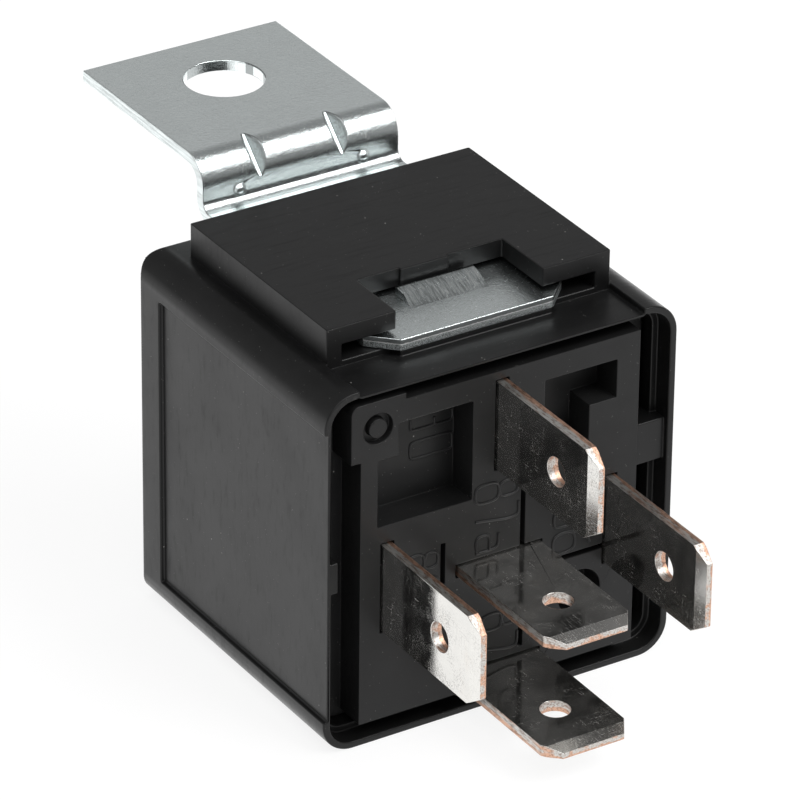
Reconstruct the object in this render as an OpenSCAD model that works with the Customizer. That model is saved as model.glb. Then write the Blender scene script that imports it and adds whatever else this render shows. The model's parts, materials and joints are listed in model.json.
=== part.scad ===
// Five-pin changeover relay with a moulded cover, plug-in blades and a snap-in steel bracket.
// Millimetres. +Z up; the blades leave along -Y; the bracket leaves along +Y; the cover rests on z = 0.
// The origin is the centre of the cover's resting face.

/* [Cover] */
// Width of the cover
cover_w = 26.2; // [25:0.1:29]
// Height of the cover without its bracket pad
cover_h = 25.8; // [25:0.1:29]
// Length of the cover from its mouth to its closed end
cover_l = 23.3; // [23:0.1:27]
// Wall of the cover
cover_wall = 1.0; // [0.8:0.1:1.2]
// Wall left at the mouth, where the inside is rebated
mouth_wall = 0.5; // [0.4:0.1:0.7]
// Depth of the rebate in the mouth
mouth_depth = 1.4; // [1.2:0.1:1.6]
// Radius of the four long edges
edge_r = 2.2; // [1.8:0.1:2.6]
// Radius of the closed end's edges
end_r = 0.7; // [0.4:0.1:1]
// Length of the full-size collar at the closed end
collar_l = 2.8; // [2:0.1:3.6]
// Width of the full-size bands along the long edges
band_w = 2.5; // [2.3:0.1:3]
// Depth of the panels in the two sides
side_panel_depth = 0.28; // [0.1:0.02:0.4]
// Depth of the panel in front of the pad
top_panel_depth = 0.4; // [0.2:0.05:0.5]
// Height of the snap lug on the left wall
lug_h = 2.2; // [1.5:0.1:3]
// Height of the locking block on the right wall
lock_h = 3.0; // [2:0.1:3.4]
// Distance from the mouth to the panel in the right side
right_panel_setback = 2.0; // [1.5:0.1:3]

/* [Bracket pad] */
// Width of the pad on the cover
pad_w = 21.1; // [20:0.1:22]
// Distance from the mouth to the pad
pad_setback = 4.05; // [3.6:0.05:4.5]
// Height of the pad above the cover
pad_h = 2.4; // [2.2:0.1:3]
// Thickness of the pad's roof
pad_roof = 1.3; // [1:0.1:1.4]
// Thickness of the pad's side legs at the front
pad_leg = 1.15; // [0.8:0.05:1.5]
// Depth of the pockets beside the bracket
pocket_l = 5; // [3:0.5:8]
// Width of the notch in the pad's roof
notch_w = 10.9; // [9:0.1:12]
// Depth of the notch in the pad's roof
notch_l = 4.8; // [4.2:0.1:5]
// Width of the lip on the notch's back wall
lip_w = 3.6; // [2:0.1:5]
// How far the lip stands out of the wall
lip_l = 0.25; // [0.1:0.05:0.35]

/* [Bracket] */
// Width of the bracket
bracket_w = 14.9; // [13:0.1:15.4]
// Thickness of the bracket's sheet
sheet_t = 0.8; // [0.6:0.05:0.85]
// How far the bracket's end stands out in front of the pad
bracket_nose = 0.95; // [0.4:0.05:1.2]
// Corner chamfer at the bracket's end
bracket_chamfer = 1.8; // [1:0.1:2.5]
// Height of the raised plate above the plate in the pad
bracket_rise = 3.45; // [3:0.05:5]
// Length of the raised plate, measured from the end of its bend
bracket_plate_l = 13.8; // [12:0.1:20]
// Bend radius inside the lower bend
bend_low_r = 0.7; // [0.5:0.1:0.9]
// Bend radius inside the upper bend
bend_high_r = 1.1; // [0.8:0.1:1.3]
// Diameter of the bracket's fixing hole
bracket_hole_d = 5.4; // [4.5:0.1:6.4]
// Distance from the bracket's far edge to the centre of its hole
bracket_hole_edge = 5.8; // [5:0.1:8]
// Distance from the closed end to the start of the lower bend
bracket_reach = 0.5; // [0.3:0.05:1]
// Width of the spring tongue that holds the bracket
tongue_w = 5.8; // [4:0.1:7]
// Length of the tongue's ramp
tongue_l = 2.1; // [1.2:0.05:2.2]
// Height of the tongue above the sheet
tongue_h = 0.65; // [0.5:0.05:1]
// Width of the two stiffening darts
dart_w = 1.3; // [1:0.1:1.6]
// Distance between the two stiffening darts
dart_spacing = 6.2; // [5:0.1:8]
// Slope of the darts' floors
dart_angle = 42; // [36:1:46]
// Distance between the two pips at the foot of the web
pip_spacing = 9.4; // [8.6:0.1:12]
// Radius of a pip
pip_r = 0.45; // [0.3:0.05:0.5]

/* [Blades] */
// Width of a blade
blade_w = 6.3; // [6.2:0.05:6.4]
// Thickness of a blade
blade_t = 0.8; // [0.75:0.05:0.85]
// Length of a blade in front of the base
blade_l = 11.3; // [10:0.1:12.5]
// Length of the corner chamfer along the blade
tip_chamfer_l = 1.3; // [0.8:0.1:1.6]
// Width of the corner chamfer across the blade
tip_chamfer_w = 0.85; // [0.5:0.05:1.2]
// Length of the bevels on both faces at the tip
tip_bevel_l = 1.0; // [0.5:0.1:1.5]
// Thickness left at the very tip
tip_t = 0.42; // [0.3:0.02:0.6]
// Diameter of the hole in each blade
blade_hole_d = 2.0; // [1.5:0.1:2.2]
// Distance from the tip to the hole's centre
blade_hole_tip = 4.45; // [4:0.05:5]
// Distance between the two coil blades
coil_pitch = 16.8; // [16.4:0.1:17.2]
// Distance from the cover's middle down to the coil blades' centres
coil_drop = 1.8; // [1.6:0.1:2]
// Height of blade 87
no_z = 2.65; // [2.5:0.05:2.9]
// Distance from blade 87 to blade 87a
nc_pitch = 8.0; // [7.8:0.05:8.2]
// Distance from the cover's top down to the centre of blade 30
common_drop = 5.35; // [5.15:0.05:5.4]
// Clearance of a blade in the base
slot_clear = 0.1; // [0.04:0.02:0.14]

/* [Base] */
// Depth of the base's front face behind the mouth
base_recess = 0.12; // [0:0.02:0.3]
// Thickness of the base
base_t = 3.6; // [3.5:0.1:3.9]
// Distance from the mouth to the base's flange
flange_setback = 2.4; // [2.3:0.05:2.5]
// Gap between the base's raised face and the side walls
base_side_gap = 2.7; // [2.4:0.1:3]
// Gap below the base's raised face
base_low_gap = 1.5; // [1.3:0.1:1.7]
// Gap above the base's raised face
base_high_gap = 1.5; // [1.4:0.1:1.9]
// Clearance of the base in the cover
base_clear = 0.1; // [0.05:0.05:0.2]
// Depth of the open recesses in the face
base_pocket_depth = 2.3; // [1.8:0.1:2.6]
// Width of the narrow grooves in the face
groove_w = 0.36; // [0.2:0.02:0.5]
// Depth of the narrow grooves in the face
groove_depth = 0.7; // [0.3:0.1:1]

/* [Magnet] */
// Thickness of the yoke
yoke_t = 1.4; // [1.2:0.1:1.5]
// Width of the yoke
yoke_w = 11; // [9:0.5:12]
// Distance from the cover's top down to the yoke's outer face
yoke_drop = 2.5; // [2.4:0.1:2.7]
// Distance from the closed end to the yoke's end and the pole face
pole_setback = 6.0; // [5.9:0.05:6.2]
// Diameter of the core
core_d = 5.6; // [5:0.1:6]
// Diameter of the core's pole
pole_d = 8; // [7:0.1:9]
// Thickness of the core's pole
pole_t = 0.9; // [0.7:0.1:1.1]
// Size of the bobbin's flanges
flange_w = 12.6; // [12:0.1:12.7]
// Thickness of the bobbin's flanges
flange_t = 1.0; // [0.8:0.1:1.2]
// Wall of the bobbin's barrel
barrel_wall = 0.5; // [0.4:0.05:0.7]
// Outer diameter of the winding
winding_d = 11.8; // [10:0.1:12]
// Diameter of the winding wire's ends
wire_d = 0.4; // [0.3:0.05:0.5]

/* [Contacts] */
// Thickness of the armature
armature_t = 1.4; // [1.2:0.1:1.5]
// Distance from the contacts' centre up to the armature's lower end
armature_lift = 3.9; // [3.6:0.1:4.5]
// Angle of the armature when it rests open
open_angle = 2.8; // [2.4:0.1:3]
// Air gap left at the pole when the armature is pulled in
pole_gap = 0.08; // [0.06:0.01:0.12]
// Thickness of the contact spring
spring_t = 0.2; // [0.15:0.05:0.25]
// Width of the contact spring
spring_w = 6; // [5:0.5:7]
// Diameter of the contact heads
contact_d = 3.2; // [2.6:0.1:3.6]
// Height of a contact head
contact_t = 0.55; // [0.4:0.05:0.6]
// Height of the contacts' centre
contact_z = 5.0; // [4.8:0.1:5.2]
// Diameter of the rivets' shanks
rivet_d = 1.2; // [1:0.1:1.4]

/* [Hidden] */
$fn = 48;
eps = 0.01;
seat = 0.02;       // gap between faces that seat on each other
running = 0.06;    // gap between faces that meet when the armature moves

// Cover and pad, measured from the mouth
cavity_w = cover_w - 2 * cover_wall;
cavity_h = cover_h - 2 * cover_wall;
cavity_l = cover_l - cover_wall;
wall_x = cavity_w / 2;
panel_l = cover_l - collar_l;
pad_l = cover_l - collar_l + 0.35 - pad_setback;
pad_top = cover_h + pad_h;
channel_z = cover_h;
channel_h = pad_h - pad_roof;
channel_w = bracket_w + 0.3;
notch_end = pad_setback + notch_l;

// Bracket
sheet_z = channel_z + 0.05;
bracket_y0 = pad_setback - bracket_nose;
bend_y = cover_l + bracket_reach;
web_y0 = bend_y + bend_low_r;
plate_y0 = web_y0 + sheet_t + bend_high_r;
dart_y = plate_y0 + 0.4;
dart_l = (dart_y - web_y0) / cos(dart_angle);
dart_back_t = 0.6;
bracket_end = plate_y0 + bracket_plate_l;
hole_y = bracket_end - bracket_hole_edge;
plate_z = sheet_z + bracket_rise;
tongue_y1 = notch_end - lip_l - 0.2;

// Blades
coil_x = coil_pitch / 2;
coil_z = cover_h / 2 - coil_drop;
nc_z = no_z + nc_pitch;
common_z = cover_h - common_drop;
base_back = base_recess + base_t;
blade_tip = base_recess - blade_l;

// Base
face_w = cover_w - 2 * base_side_gap;
face_z0 = base_low_gap;
face_z1 = cover_h - base_high_gap;
key_l = 3.5;
recess_y = base_recess + base_pocket_depth;
groove_y = base_recess + groove_depth;
lock_z = coil_z + 3.1;

// Magnet
yoke_top = cover_h - yoke_drop;
pole_y = cover_l - pole_setback;
coil_axis_z = yoke_top - yoke_t - flange_w / 2 - 0.2;
short_leg_y = base_back + seat;
bobbin_y0 = short_leg_y + yoke_t + seat;
bobbin_y1 = pole_y - pole_t - seat;
barrel_r = core_d / 2 + barrel_wall;
post_w = 1.2;
post_end = bobbin_y0 + flange_t + 2.2;
wrap_l = 1.3;

// Contact stack with the armature pulled in, measured from the mouth
armature_y = pole_y + pole_gap;
spring_y = armature_y + armature_t + seat;
moving_low = spring_y - contact_t;
moving_high = spring_y + spring_t + contact_t;
open_travel = (yoke_top - contact_z) * tan(open_angle);
no_face = moving_low - running;
nc_face = moving_high + open_travel + running;
strip_t = blade_t;
fork_x0 = 4.4;
fork_x1 = 7.2;
leg_l = 6;
turn_z = yoke_top - armature_t;

module from_mouth() {
    translate([0, -cover_l / 2, 0]) children();
}

// A flat shape drawn in X and Z, standing from y0 to y1
module slab(y0, y1) {
    translate([0, y1, 0]) rotate([90, 0, 0]) linear_extrude(y1 - y0) children();
}

// A side profile drawn in Y and Z, across the width w
module across(w) {
    rotate([90, 0, 90]) translate([0, 0, -w / 2]) linear_extrude(w) children();
}

// A box from its low corner to its high corner
module block(a, b) {
    translate(a) cube(b - a);
}

// A rectangle with round corners, centred in x and standing on y = 0
module round_rect(w, h, r) {
    translate([-w / 2 + r, 0]) square([w - 2 * r, h]);
    translate([-w / 2, r]) square([w, h - 2 * r]);
    for (x = [-w / 2 + r, w / 2 - r], z = [r, h - r]) translate([x, z]) circle(r);
}

// A rod or bore along +Y
module along_y(r, y0, y1) {
    translate([0, y0, 0]) rotate([-90, 0, 0]) cylinder(r = r, h = y1 - y0);
}

// ---------------------------------------------------------------- cover

module closed_end_profile(w) {
    translate([-w / 2, 0]) square([w, cover_l - end_r]);
    translate([-w / 2 + end_r, 0]) square([w - 2 * end_r, cover_l]);
    for (x = [-w / 2 + end_r, w / 2 - end_r]) translate([x, cover_l - end_r]) circle(end_r);
}

module cover_body() {
    intersection() {
        slab(0, cover_l) round_rect(cover_w, cover_h, edge_r);
        linear_extrude(cover_h) closed_end_profile(cover_w);
        translate([0, 0, cover_h / 2]) across(cover_w)
            rotate(-90) mirror([1, 0]) closed_end_profile(cover_h);
    }
}

module cover_hollow() {
    slab(-eps, cavity_l) translate([0, cover_wall])
        round_rect(cavity_w, cavity_h, edge_r - cover_wall);
    difference() {
        slab(-eps, mouth_depth) translate([0, mouth_wall])
            round_rect(cover_w - 2 * mouth_wall, cover_h - 2 * mouth_wall, edge_r - mouth_wall);
        // The snap lug is what is left of the left wall
        block([-cover_w / 2, -1, (cover_h - lug_h) / 2], [-wall_x, mouth_depth + 1, (cover_h + lug_h) / 2]);
    }
}

module cover_panels() {
    block([-cover_w / 2 - 1, -1, band_w],
        [-cover_w / 2 + side_panel_depth, panel_l, cover_h - band_w]);
    block([cover_w / 2 - side_panel_depth, right_panel_setback, band_w],
        [cover_w / 2 + 1, panel_l, cover_h - band_w]);
    difference() {
        block([-pad_w / 2, -1, cover_h - top_panel_depth], [pad_w / 2, pad_setback, cover_h + 1]);
        // The step that carries the bracket's end
        block([-bracket_w / 2 + bracket_chamfer, bracket_y0 + 0.1, 0],
            [bracket_w / 2 - bracket_chamfer, pad_setback + 1, cover_h]);
    }
}

module pad() {
    difference() {
        block([-pad_w / 2, pad_setback, cover_h - eps], [pad_w / 2, pad_setback + pad_l, pad_top]);
        block([-channel_w / 2, 0, channel_z], [channel_w / 2, cover_l, channel_z + channel_h]);
        block([-pad_w / 2 + pad_leg, 0, channel_z],
            [pad_w / 2 - pad_leg, pad_setback + pocket_l, channel_z + channel_h]);
        block([-notch_w / 2, 0, channel_z], [notch_w / 2, notch_end, pad_top + 1]);
    }
    block([-lip_w / 2 - 0.5, notch_end - lip_l, channel_z + channel_h],
        [lip_w / 2 - 0.5, notch_end + eps, pad_top]);
}

module cover() {
    color([0.07, 0.07, 0.075]) from_mouth() {
        difference() {
            union() {
                cover_body();
                pad();
            }
            cover_panels();
            cover_hollow();
        }
        // The locking block that stands beside the base's raised face
        block([face_w / 2 + 0.05, 0.4, lock_z],
            [cover_w / 2 - mouth_wall + 0.1, flange_setback - base_clear, lock_z + lock_h]);
    }
}

// ---------------------------------------------------------------- base

module base_outline() {
    translate([-face_w / 2, face_z0]) square([face_w, face_z1 - face_z0]);
    // The keyed corner
    translate([-face_w / 2 - 0.7, face_z1 - key_l - 0.2]) square([4, key_l]);
    translate([-face_w / 2 - 0.1, face_z1 - key_l - 0.2]) square([3.4, key_l + 0.6]);
    translate([-face_w / 2 - 0.1, face_z1 - 0.2]) circle(0.6);
}

module blade_slots() {
    clear = 2 * slot_clear;
    for (s = [-1, 1])
        translate([s * coil_x - blade_t / 2 - slot_clear, -1, coil_z - blade_w / 2 - slot_clear])
            cube([blade_t + clear, base_t + 3, blade_w + clear]);
    translate([-blade_t / 2 - slot_clear, -1, common_z - blade_w / 2 - slot_clear])
        cube([blade_t + clear, base_t + 3, blade_w + clear]);
    for (z = [no_z, nc_z])
        translate([-blade_w / 2 - slot_clear, -1, z - blade_t / 2 - slot_clear])
            cube([blade_w + clear, base_t + 3, blade_t + clear]);
    // Bed of the changeover strip in the back of the base
    translate([-blade_w / 2 - slot_clear, base_back - strip_t - slot_clear,
        contact_z - strip_t / 2 - slot_clear])
        cube([blade_w / 2 + fork_x1 + clear, strip_t + 1,
            nc_z - contact_z + strip_t + clear]);
}

module face_pockets() {
    left = -face_w / 2;
    // Beside the common blade, left and right
    block([left + 1.27, -1, coil_z + 4.5], [-2.15, recess_y, face_z1 - 3.9]);
    block([left + 2.8, -1, face_z1 - 3.9 - eps], [-2.15, recess_y, face_z1 - 1.6]);
    block([3.2, -1, face_z1 - 4.4], [8.65, recess_y, face_z1 - 1.65]);
    block([3.2, -1, coil_z + 6.1], [6.6, recess_y, face_z1 - 4.4 + eps]);
    // Round well and the moulding's gate ring
    translate([6.2, 0, 6.3]) along_y(1.6, -1, base_recess + 1.8);
    translate([left + 1.25, 0, face_z1 - 1.55]) difference() {
        along_y(1.08, -1, base_recess + 0.5);
        along_y(0.66, -2, base_recess + 1);
    }
    // Narrow grooves
    block([-4.42, -1, coil_z - 1.1], [-4.42 + groove_w, groove_y, coil_z + 1.9]);
    block([1.55, -1, no_z + 0.95], [1.55 + groove_w, groove_y, coil_z + 4.3]);
    block([4.8, -1, coil_z - 2.05], [coil_x - 0.2, groove_y, coil_z - 2.05 + groove_w]);
}

module base_plate() {
    color([0.08, 0.08, 0.085]) from_mouth() difference() {
        union() {
            slab(base_recess, flange_setback + eps) base_outline();
            slab(flange_setback, base_back) translate([0, cover_wall + base_clear])
                round_rect(cavity_w - 2 * base_clear, cavity_h - 2 * base_clear,
                    edge_r - cover_wall - base_clear);
        }
        blade_slots();
        face_pockets();
    }
}

// ---------------------------------------------------------------- bracket

// A quarter of a bend in a sheet of thickness t, with its inner radius r
module quarter_bend(r, t) {
    intersection() {
        difference() {
            circle(r + t);
            circle(r);
        }
        square(r + t + 1);
    }
}

// The sheet's side profile in Y and Z, from its end in the pad to its free edge
module bracket_profile() {
    web_z0 = sheet_z + sheet_t + bend_low_r;
    web_z1 = plate_z - bend_high_r;
    translate([bracket_y0, sheet_z]) square([bend_y - bracket_y0, sheet_t]);
    translate([bend_y, web_z0]) mirror([0, 1]) quarter_bend(bend_low_r, sheet_t);
    translate([web_y0, web_z0]) square([sheet_t, web_z1 - web_z0]);
    translate([plate_y0, web_z1]) mirror([1, 0]) quarter_bend(bend_high_r, sheet_t);
    translate([plate_y0, plate_z]) square([bracket_plate_l, sheet_t]);
}

// A stiffening dart pressed in across the upper bend, as side profiles of its hollow and its back
function on_dart(along, up) = [dart_y - along * cos(dart_angle) - up * sin(dart_angle),
    plate_z + sheet_t - along * sin(dart_angle) + up * cos(dart_angle)];

module dart_hollow() {
    polygon([on_dart(-1, 0), on_dart(dart_l + 0.6, 0), on_dart(dart_l + 0.6, 2), on_dart(-1, 2)]);
}

module dart_back() {
    polygon([on_dart(0.3, 0.1), on_dart(dart_l - 0.3, 0.1), on_dart(dart_l - 0.3, -dart_back_t),
        on_dart(0.3, -dart_back_t)]);
}

module both_sides(spacing) {
    for (x = [-1, 1]) translate([x * spacing / 2, 0, 0]) children();
}

module tongue() {
    z = sheet_z + sheet_t;
    across(tongue_w) polygon([[tongue_y1 - tongue_l, z], [tongue_y1 - tongue_l * 0.45, z + tongue_h * 0.8],
        [tongue_y1 - tongue_l * 0.15, z + tongue_h], [tongue_y1, z + tongue_h * 0.85],
        [tongue_y1, z - sheet_t / 2], [tongue_y1 - tongue_l, z - sheet_t / 2]]);
}

module mounting_bracket() {
    color([0.74, 0.76, 0.77]) from_mouth() difference() {
        union() {
            across(bracket_w) bracket_profile();
            tongue();
            both_sides(dart_spacing) across(dart_w + 0.6) dart_back();
            both_sides(pip_spacing)
                translate([0, web_y0 + 0.15, sheet_z + sheet_t + bend_low_r + 0.1]) sphere(pip_r);
        }
        both_sides(dart_spacing) across(dart_w) dart_hollow();
        translate([0, hole_y, plate_z - 1]) cylinder(d = bracket_hole_d, h = sheet_t + 2);
        for (s = [0, 1])
            mirror([s, 0, 0]) translate([bracket_w / 2, bracket_y0, sheet_z - 1])
                linear_extrude(sheet_t + 2)
                    polygon([[1, -1], [-bracket_chamfer - 1, -1], [-bracket_chamfer, 0],
                        [0, bracket_chamfer], [1, bracket_chamfer + 1]]);
    }
}

// ---------------------------------------------------------------- blades

// A blade lying flat, pointing to -Y, its width along X; the back end is at y = end
module blade(end) {
    w = blade_w / 2;
    y = blade_tip;
    difference() {
        translate([0, 0, -blade_t / 2]) linear_extrude(blade_t)
            polygon([[-w, end], [-w, y + tip_chamfer_l], [-w + tip_chamfer_w, y],
                [w - tip_chamfer_w, y], [w, y + tip_chamfer_l], [w, end]]);
        for (s = [0, 1])
            mirror([0, 0, s]) across(blade_w + 2)
                polygon([[y - 1, tip_t / 2], [y, tip_t / 2], [y + tip_bevel_l, blade_t / 2],
                    [y + tip_bevel_l, blade_t], [y - 1, blade_t]]);
        translate([0, y + blade_hole_tip, -blade_t]) cylinder(d = blade_hole_d, h = 2 * blade_t);
    }
}

module upright_blade(x, z, end) {
    translate([x, 0, z]) rotate([0, 90, 0]) blade(end);
}

module tin() {
    color([0.72, 0.71, 0.69]) from_mouth() children();
}

module terminal_30() {
    // The tenon is staked in the yoke's short leg
    tin() {
        upright_blade(0, common_z, base_back);
        block([-blade_t / 2, base_back - eps, common_z - 1.5],
            [blade_t / 2, short_leg_y + yoke_t, common_z + 1.5]);
    }
}

module coil_terminal(side) {
    tin() {
        upright_blade(side * coil_x, coil_z, base_back);
        translate([side * coil_x, 0, coil_z])
            block([-blade_t / 2, base_back - eps, -post_w / 2], [blade_t / 2, post_end, post_w / 2]);
    }
}

module terminal_85() {
    coil_terminal(-1);
}

module terminal_86() {
    coil_terminal(1);
}

module terminal_87() {
    top = no_face - contact_t - seat;
    tin() {
        translate([0, 0, no_z]) blade(base_back);
        block([-spring_w / 2, base_back - eps, no_z - strip_t / 2], [spring_w / 2, top, no_z + strip_t / 2]);
        difference() {
            block([-spring_w / 2, top - strip_t, no_z - strip_t / 2], [spring_w / 2, top, contact_z + 1.8]);
            translate([0, 0, contact_z]) along_y(rivet_d / 2 + seat, 0, cover_l);
        }
    }
}

module terminal_87a() {
    top = nc_face + contact_t + seat + strip_t;
    low = contact_z - strip_t / 2;
    tin() {
        translate([0, 0, nc_z]) blade(base_back);
        block([-blade_w / 2, base_back - strip_t, low], [fork_x1, base_back, nc_z + strip_t / 2]);
        block([fork_x0, base_back - eps, low], [fork_x1, top, low + strip_t]);
        difference() {
            block([-contact_d / 2 - 0.4, top - strip_t, contact_z - 1.8], [fork_x1, top, contact_z + 1.8]);
            translate([0, 0, contact_z]) along_y(rivet_d / 2 + seat, 0, cover_l);
        }
    }
}

// ---------------------------------------------------------------- magnet

module yoke() {
    color([0.62, 0.63, 0.64]) from_mouth() difference() {
        union() {
            block([-yoke_w / 2, short_leg_y, coil_axis_z - flange_w / 2 + 0.4],
                [yoke_w / 2, short_leg_y + yoke_t, yoke_top]);
            block([-yoke_w / 2, short_leg_y, yoke_top - yoke_t], [yoke_w / 2, pole_y, yoke_top]);
        }
        translate([0, 0, coil_axis_z]) along_y(core_d / 2 - 0.8 + seat, 0, bobbin_y0 + 1);
        block([-blade_t / 2 - seat, 0, common_z - 1.5 - seat],
            [blade_t / 2 + seat, bobbin_y0, common_z + 1.5 + seat]);
        leg_rivet_places() translate([0, 0, -1]) cylinder(d = rivet_d + 2 * seat, h = yoke_t + 2);
    }
}

module core() {
    color([0.66, 0.66, 0.67]) from_mouth() translate([0, 0, coil_axis_z]) {
        along_y(core_d / 2 - 0.8, short_leg_y, bobbin_y0);
        along_y(core_d / 2, bobbin_y0 - eps, bobbin_y1 + eps);
        along_y(pole_d / 2, bobbin_y1 + seat, pole_y);
        along_y(core_d / 2, bobbin_y1, pole_y - eps);
    }
}

module bobbin() {
    color([0.86, 0.83, 0.74]) from_mouth() translate([0, 0, coil_axis_z]) difference() {
        union() {
            along_y(barrel_r, bobbin_y0, bobbin_y1);
            for (y = [bobbin_y0, bobbin_y1 - flange_t])
                slab(y, y + flange_t) translate([0, -flange_w / 2]) round_rect(flange_w, flange_w, 2);
        }
        along_y(core_d / 2 + seat, 0, cover_l);
    }
}

module coil_winding() {
    color([0.72, 0.38, 0.16]) from_mouth() translate([0, 0, coil_axis_z]) difference() {
        along_y(winding_d / 2, bobbin_y0 + flange_t + seat, bobbin_y1 - flange_t - seat);
        along_y(barrel_r + seat, 0, cover_l);
    }
}

// The wire's end, wound round the terminal's post
module coil_lead(side) {
    y = post_end - wrap_l - 0.2;
    reach = sqrt(pow(winding_d / 2 + wire_d, 2) - pow(coil_axis_z - coil_z, 2));
    color([0.75, 0.4, 0.18]) from_mouth() translate([side * coil_x, 0, coil_z]) difference() {
        union() {
            along_y(post_w / 2 + wire_d + 0.1, y, y + wrap_l);
            translate([-side * (coil_x - reach), y + wrap_l / 2, 0]) rotate([0, side * 90, 0])
                cylinder(d = wire_d, h = coil_x - reach);
        }
        block([-blade_t / 2 - seat, 0, -post_w / 2 - seat],
            [blade_t / 2 + seat, cover_l, post_w / 2 + seat]);
    }
}

module coil_lead_85() {
    coil_lead(-1);
}

module coil_lead_86() {
    coil_lead(1);
}

// ---------------------------------------------------------------- armature and contacts

// Turns a piece drawn pulled in to the open position, about the yoke's outer end edge
module opened() {
    from_mouth() translate([0, pole_y, yoke_top]) rotate([open_angle, 0, 0])
        translate([0, -pole_y, -yoke_top]) children();
}

module rivet_places() {
    for (x = [-1, 1]) translate([x * spring_w / 4, 0, yoke_top - 4.5]) children();
}

// Where the spring's leg is riveted on the yoke, from the yoke's inner face
module leg_rivet_places() {
    for (x = [-1, 1]) translate([x * spring_w / 4, pole_y - leg_l + 1.5, yoke_top - yoke_t]) children();
}

module armature() {
    color([0.6, 0.61, 0.62]) opened() difference() {
        across(yoke_w) {
            translate([armature_y, contact_z + armature_lift])
                square([armature_t, turn_z - contact_z - armature_lift]);
            // The outer corner is round, for the spring to pass over it
            translate([armature_y, turn_z]) intersection() {
                circle(armature_t);
                square(armature_t + 1);
            }
        }
        rivet_places() along_y(rivet_d / 2 + seat, 0, cover_l);
    }
}

// From the contact up the armature and round its corner
module spring_profile() {
    translate([spring_y, contact_z - 1.7]) square([spring_t, turn_z - contact_z + 1.7]);
    translate([armature_y, turn_z]) quarter_bend(armature_t + seat, spring_t);
}

// One strip, with its other leg lying on the yoke
module contact_spring() {
    w = spring_w / 2;
    color([0.8, 0.62, 0.3]) difference() {
        union() {
            opened() across(spring_w) spring_profile();
            from_mouth() {
                block([-w, pole_y - leg_l, yoke_top + seat],
                    [w, pole_y + 0.15, yoke_top + seat + spring_t]);
                block([-w, pole_y - 0.1, yoke_top + seat / 2],
                    [w, pole_y + 0.4, yoke_top + spring_t + 0.05]);
            }
        }
        opened() rivet_places() along_y(rivet_d / 2 + seat, 0, cover_l);
        opened() translate([0, 0, contact_z]) along_y(rivet_d / 2 + seat, 0, cover_l);
        from_mouth() leg_rivet_places() cylinder(d = rivet_d + 2 * seat, h = yoke_t + 2);
    }
}

module moving_contact() {
    color([0.85, 0.85, 0.83]) opened() translate([0, 0, contact_z]) {
        along_y(contact_d / 2, moving_low, spring_y - seat);
        along_y(rivet_d / 2, moving_low, moving_high);
        along_y(contact_d / 2, spring_y + spring_t + seat, moving_high);
    }
}

module armature_rivets() {
    color([0.7, 0.7, 0.7]) opened() rivet_places() {
        along_y(rivet_d / 2, armature_y + 0.2, spring_y + spring_t + 0.5);
        along_y(rivet_d * 0.9, spring_y + spring_t + seat, spring_y + spring_t + 0.5);
    }
}

module spring_rivets() {
    head_z = yoke_t + spring_t + 2 * seat;
    color([0.7, 0.7, 0.7]) from_mouth() leg_rivet_places() {
        cylinder(d = rivet_d, h = head_z + 0.4);
        translate([0, 0, head_z]) cylinder(r = rivet_d * 0.9, h = 0.4);
    }
}

module fixed_contact(face, back) {
    low = min(face, back);
    high = max(face, back);
    color([0.85, 0.85, 0.83]) from_mouth() translate([0, 0, contact_z]) {
        along_y(contact_d / 2, low, high);
        along_y(rivet_d / 2, back > face ? high - eps : low - strip_t,
            back > face ? high + strip_t : low + eps);
    }
}

module fixed_contact_no() {
    fixed_contact(no_face, no_face - contact_t);
}

module fixed_contact_nc() {
    fixed_contact(nc_face, nc_face + contact_t);
}

cover();
base_plate();
mounting_bracket();
terminal_30();
terminal_85();
terminal_86();
terminal_87();
terminal_87a();
yoke();
core();
bobbin();
coil_winding();
coil_lead_85();
coil_lead_86();
armature();
contact_spring();
moving_contact();
armature_rivets();
spring_rivets();
fixed_contact_no();
fixed_contact_nc();
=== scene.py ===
import json
import math

import bmesh
import bpy
from bpy.props import FloatProperty, FloatVectorProperty, IntProperty, PointerProperty
from bpy.types import Operator, Panel, PropertyGroup
from mathutils import Matrix, Vector


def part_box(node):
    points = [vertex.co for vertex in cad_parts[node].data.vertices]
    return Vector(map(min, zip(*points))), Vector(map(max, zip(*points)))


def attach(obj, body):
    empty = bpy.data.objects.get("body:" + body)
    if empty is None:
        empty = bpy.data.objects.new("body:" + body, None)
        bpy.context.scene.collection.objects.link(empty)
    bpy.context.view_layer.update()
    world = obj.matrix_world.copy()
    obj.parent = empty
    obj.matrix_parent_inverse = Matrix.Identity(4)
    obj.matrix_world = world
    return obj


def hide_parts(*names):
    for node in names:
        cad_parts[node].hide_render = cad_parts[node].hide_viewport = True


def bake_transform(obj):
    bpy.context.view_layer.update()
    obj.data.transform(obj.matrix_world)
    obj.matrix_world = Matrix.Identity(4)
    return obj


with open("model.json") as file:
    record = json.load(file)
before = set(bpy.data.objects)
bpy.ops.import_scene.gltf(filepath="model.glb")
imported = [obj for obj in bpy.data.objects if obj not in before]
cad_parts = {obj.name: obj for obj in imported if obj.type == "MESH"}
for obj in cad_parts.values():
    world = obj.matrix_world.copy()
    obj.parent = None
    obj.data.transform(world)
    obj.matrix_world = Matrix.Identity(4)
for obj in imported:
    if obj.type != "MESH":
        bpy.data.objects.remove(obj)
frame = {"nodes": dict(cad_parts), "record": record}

bl_info = {
    "name": "Changeover relay finish",
    "version": (1, 0, 0),
    "blender": (4, 5, 0),
    "location": "View3D > Sidebar > Relay",
    "description": "Finishes, fine detail and studio of a plug-in changeover relay",
    "category": "Object",
}

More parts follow.
